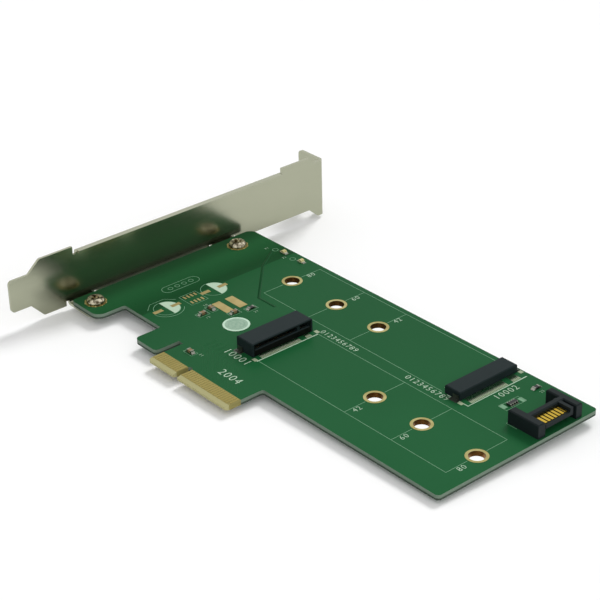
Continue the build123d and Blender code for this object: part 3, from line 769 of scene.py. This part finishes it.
# Copper tracks under the mask, just proud of it
trackPlan = {
    "width": 0.2, "thickness": 0.012,
    "firstX": 3.6, "pairs": 8, "pairPitch": 2.2, "pairGap": 0.6,
    "bends": (5.0, 6.0, 14.5, 19.6), "slant": 1.3,
    "pourGaps": (((-33.0, 57.5), (-18.4, 43.9), (-10.9, 43.9)), ((-39.2, 66.5), (-33.0, 57.5))),
    "gapWidth": 0.9,
}


def trackPaths(plan):
    low, bend, high, end = plan["bends"]
    slide = (high - bend) * plan["slant"]
    starts = [plan["firstX"] + i * plan["pairPitch"] + gap
              for i in range(plan["pairs"]) for gap in (0, plan["pairGap"])]
    return [[(x, low), (x, bend), (x - slide, high), (x - slide, end)] for x in starts]


meshes = [
    sweepStrokes("tracks", strokeTree(looks["trace"]), trackPaths(trackPlan), trackPlan["width"],
                 trackPlan["thickness"]),
    sweepStrokes("gaps", strokeTree(looks["gap"]), trackPlan["pourGaps"], trackPlan["gapWidth"],
                 trackPlan["thickness"] / 2),
]
finishPiece("board_tracks", joinMeshes("board_tracks", meshes))


# Copies of one small shape at marked points, each with its own turn and size, slightly uneven
def copyTree(name, material):
    tree, given = growthTree(name, {
        "Original": ("Object", None), "Unevenness": ("Float", 0.1), "Seed": ("Int", 7)})
    shape = tree.add("GeometryNodeObjectInfo", {}, {"Object": given["Original"]}, "Geometry")
    turn = tree.add("GeometryNodeInputNamedAttribute", {"data_type": "FLOAT"}, {"Name": "turn"})
    size = tree.add("GeometryNodeInputNamedAttribute", {"data_type": "FLOAT_VECTOR"}, {"Name": "size"})
    high = tree.add("FunctionNodeRandomValue", {"data_type": "FLOAT"}, {
        "Min": 1 - given["Unevenness"], "Max": 1 + given["Unevenness"], "Seed": given["Seed"]}, 1)
    uneven = tree.add("ShaderNodeVectorMath", {"operation": "SCALE"}, {"Vector": size, "Scale": high})
    spin = tree.add("ShaderNodeCombineXYZ", {}, {"Z": turn})
    copies = tree.add("GeometryNodeInstanceOnPoints", {}, {
        "Points": given["Geometry"], "Instance": shape, "Rotation": spin, "Scale": uneven})
    return endGrowth(tree, copies, material)


def placeCopies(name, shape, spots, material, unevenness=0.1):  # spots: (place, turn, size), mm and degrees
    original = bpy.data.objects.new(name + "Shape", shape)
    scene.collection.objects.link(original)
    points = bpy.data.meshes.new(name + "Spots")
    points.from_pydata([tuple(v * mm for v in spot[0]) for spot in spots], [], [])
    turns = points.attributes.new("turn", "FLOAT", "POINT")
    sizes = points.attributes.new("size", "FLOAT_VECTOR", "POINT")
    for i, (_, turn, size) in enumerate(spots):
        turns.data[i].value = math.radians(turn)
        sizes.data[i].vector = size
    result = grow(name, points, copyTree(name, material), {"Original": original, "Unevenness": unevenness})
    bpy.data.objects.remove(original)
    return result


# Solder: 1 mm wide and high wedge with a hollow slope, and a 1 mm flat land
solderLook = {
    "slopeSteps": 5, "chipWidth": 0.94, "chipHeight": 0.75, "footHeight": 0.14, "footReach": 0.42,
    "footLand": {"length": 1.6, "width": 0.34, "overlap": 0.5}, "landThickness": 0.03,
    "holdLand": {"length": 3.0, "width": 1.7, "outward": 0.2}, "unevenness": 0.12,
    "cornerPads": ((8.4, 43.3), (8.6, 20.4), (63.0, 46.3), (62.5, 69.7)), "cornerPad": (1.6, 1.2),
}


def wedgeMesh(steps):
    rows = [(i / steps, (1 - i / steps) ** 2 + (0.04 if i == steps else 0)) for i in range(steps + 1)]
    outline = [(0, 0), (1, 0)] + rows[::-1]
    shape = bmesh.new()
    ends = [[shape.verts.new((x * mm, side * mm, z * mm)) for x, z in outline] for side in (-0.5, 0.5)]
    shape.faces.new(ends[0])
    shape.faces.new(ends[1][::-1])
    for i in range(len(outline)):
        shape.faces.new((ends[0][i - 1], ends[1][i - 1], ends[1][i], ends[0][i]))
    bmesh.ops.recalc_face_normals(shape, faces=shape.faces)
    mesh = bpy.data.meshes.new("wedge")
    shape.to_mesh(mesh)
    shape.free()
    return mesh


def slabMesh():
    shape = bmesh.new()
    bmesh.ops.create_cube(shape, size=1 * mm, matrix=Matrix.Translation((0, 0, 0.5 * mm)))
    mesh = bpy.data.meshes.new("slab")
    shape.to_mesh(mesh)
    shape.free()
    return mesh


def chipJoints(spec):
    ends = [box for name in ("capacitor_ends", "resistor_ends", "lamp_bases", "resistor_array_terminals")
            for box in looseBoxes(name)]
    spots = []
    for land in looseBoxes("chip_lands"):
        for end in ends:
            if min(land[1].x, end[1].x) > max(land[0].x, end[0].x) and \
                    min(land[1].y, end[1].y) > max(land[0].y, end[0].y):
                shift = (land[0] + land[1] - end[0] - end[1]) / 2
                axis = 0 if abs(shift.x) > abs(shift.y) else 1
                way = 1 if shift[axis] > 0 else -1
                side = end[1] if way > 0 else end[0]
                rim = land[1] if way > 0 else land[0]
                place = (end[0] + end[1]) / 2
                place[axis], place.z = side[axis], land[1].z
                turn = (0 if way > 0 else 180) if axis == 0 else 90 * way
                width = (end[1] - end[0])[1 - axis] * spec["chipWidth"]
                height = (end[1].z - end[0].z) * spec["chipHeight"]
                spots.append((place, turn, (abs(rim[axis] - side[axis]), width, height)))
    return spots


def footSpots(contacts, centreX, spec):  # where each spring's foot ends, and its land
    joints, lands = [], []
    for low, high in looseBoxes(contacts):
        way = -1 if centreX - low.x > high.x - centreX else 1
        end = low.x if way < 0 else high.x
        y, turn = (low.y + high.y) / 2, 0 if way > 0 else 180
        joints.append(((end, y, boardTop), turn, (spec["footReach"], high.y - low.y, spec["footHeight"])))
        land = spec["footLand"]
        x = end + way * (land["length"] / 2 - land["overlap"])
        lands.append(((x, y, boardTop), 0, (land["length"], land["width"], spec["landThickness"])))
    return joints, lands


wedge, slab = wedgeMesh(solderLook["slopeSteps"]), slabMesh()
joints, lands, holdLands = chipJoints(solderLook), [], []
holdLand = solderLook["holdLand"]
holdSize = (holdLand["length"], holdLand["width"], solderLook["landThickness"])
for letter in ("a", "b"):
    low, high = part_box(f"socket_{letter}_housing")
    centre = (low + high) / 2 / mm
    for row in ("upper", "lower"):
        found = footSpots(f"socket_{letter}_{row}_contacts", centre.x, solderLook)
        joints, lands = joints + found[0], lands + found[1]
    for low, high in looseBoxes(f"socket_{letter}_hold_downs"):
        middle = (low + high) / 2
        outer = 1 if middle.y > centre.y else -1
        holdLands.append(((middle.x, middle.y + outer * holdLand["outward"], boardTop), 0, holdSize))
pads = [((x, y, boardTop), 0, (*solderLook["cornerPad"], solderLook["landThickness"]))
        for x, y in solderLook["cornerPads"]]
meshes = [placeCopies("solderJoints", wedge, joints, looks["tin"], solderLook["unevenness"]),
          placeCopies("holdLands", slab, holdLands, looks["dullTin"], 0),
          placeCopies("solderLands", slab, lands + pads, looks["paleLand"], 0)]
finishPiece("solder", joinMeshes("solder", meshes))

# Screws: rounded pan head with a cross recess, threaded shank, and solder dots in the ring
screwLook = {
    "headEdge": 0.55, "headCrown": 0.9, "headFoot": 0.15, "headSteps": 8, "around": 64,
    "recessLength": 3.7, "recessWidth": 1.1, "recessDepth": 1.2, "recessFloor": 0.45, "recessTurn": 20,
    "threadPitch": 0.6, "threadDepth": 0.16, "shankRadius": 1.45, "leadIn": 0.4, "plainShank": 0.5,
    "dots": 10, "dotRing": 3.2, "dotRadius": 0.26,
}


def lathe(rows, around):  # rows of (radius, height) in mm, closed at both ends on the axis
    shape = bmesh.new()
    rings = []
    for radius, height in rows:
        if radius == 0:
            rings.append([shape.verts.new((0, 0, height * mm))])
            continue
        turns = [math.tau * i / around for i in range(around)]
        rings.append([shape.verts.new((radius * mm * math.cos(t), radius * mm * math.sin(t), height * mm))
                      for t in turns])
    for lower, upper in zip(rings, rings[1:]):
        for i in range(around):
            quad = [lower[i % len(lower)], lower[(i + 1) % len(lower)],
                    upper[(i + 1) % len(upper)], upper[i % len(upper)]]
            shape.faces.new(list(dict.fromkeys(quad)))
    bmesh.ops.recalc_face_normals(shape, faces=shape.faces)
    return shape


def screwMesh(spec):
    low, high = looseBoxes("bracket_screws")[0]
    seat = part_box("screw_lands")[1].z / mm
    radius, top = (high.x - low.x) / 2, high.z
    start, foot = low.z + spec["leadIn"], seat + spec["headFoot"]
    rows = [(0, low.z), (spec["shankRadius"] * 0.7, low.z), (spec["shankRadius"], start)]
    for i in range(int((seat - low.z - spec["plainShank"]) / spec["threadPitch"])):
        height = start + i * spec["threadPitch"]
        rows.append((spec["shankRadius"] - spec["threadDepth"], height + spec["threadPitch"] / 2))
        rows.append((spec["shankRadius"], height + spec["threadPitch"]))
    rows += [(spec["shankRadius"], seat), (radius * 0.97, seat), (radius, foot)]
    for i in range(1, spec["headSteps"]):
        angle = math.pi / 2 * i / spec["headSteps"]
        height = foot + (top - foot) * math.sin(angle) ** spec["headCrown"]
        rows.append((radius * math.cos(angle) ** spec["headEdge"], height))
    rows.append((0, top))
    shape = lathe(rows, spec["around"])
    mesh = bpy.data.meshes.new("screw")
    shape.to_mesh(mesh)
    shape.free()
    cutter = bmesh.new()
    for turn in (0, 90):
        arm = bmesh.ops.create_cube(cutter, size=1)["verts"]
        for vertex in arm:
            share = 1 if vertex.co.z > 0 else spec["recessFloor"]
            vertex.co.x *= spec["recessLength"] * share
            vertex.co.y *= spec["recessWidth"] * share
            vertex.co.z = top + 0.3 if vertex.co.z > 0 else top - spec["recessDepth"]
            turned = Matrix.Rotation(math.radians(turn + spec["recessTurn"]), 3, "Z")
            vertex.co = turned @ vertex.co * mm
    tool = bpy.data.meshes.new("recess")
    cutter.to_mesh(tool)
    cutter.free()
    toolObject = bpy.data.objects.new("recess", tool)
    scene.collection.objects.link(toolObject)
    body = bpy.data.objects.new("screwBody", mesh)
    cut = body.modifiers.new("cut", "BOOLEAN")
    cut.object, cut.operation, cut.solver, cut.use_self = toolObject, "DIFFERENCE", "EXACT", True
    result = bake("screw", body)
    bpy.data.objects.remove(toolObject)
    result.materials.clear()
    result.materials.append(looks["nickel"])
    return result


def dotMesh():
    shape = bmesh.new()
    bmesh.ops.create_uvsphere(shape, u_segments=12, v_segments=8, radius=1 * mm)
    mesh = bpy.data.meshes.new("dot")
    shape.to_mesh(mesh)
    shape.free()
    return mesh


meshes, dots = [], []
for place in screwPlaces:
    screw = screwMesh(screwLook)
    screw.transform(Matrix.Translation((place.x * mm, place.y * mm, 0)))
    meshes.append(screw)
    for x, y in arcPath((place.x, place.y), screwLook["dotRing"], steps=screwLook["dots"])[:-1]:
        size = screwLook["dotRadius"]
        dots.append(((x, y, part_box("screw_lands")[1].z / mm), 0, (size, size, size * 0.6)))
finishPiece("screws_detailed", joinMeshes("screws_detailed", meshes), ("bracket_screws",))
finishPiece("screw_ring_dots", placeCopies("screw_ring_dots", dotMesh(), dots, looks["rimGold"]))
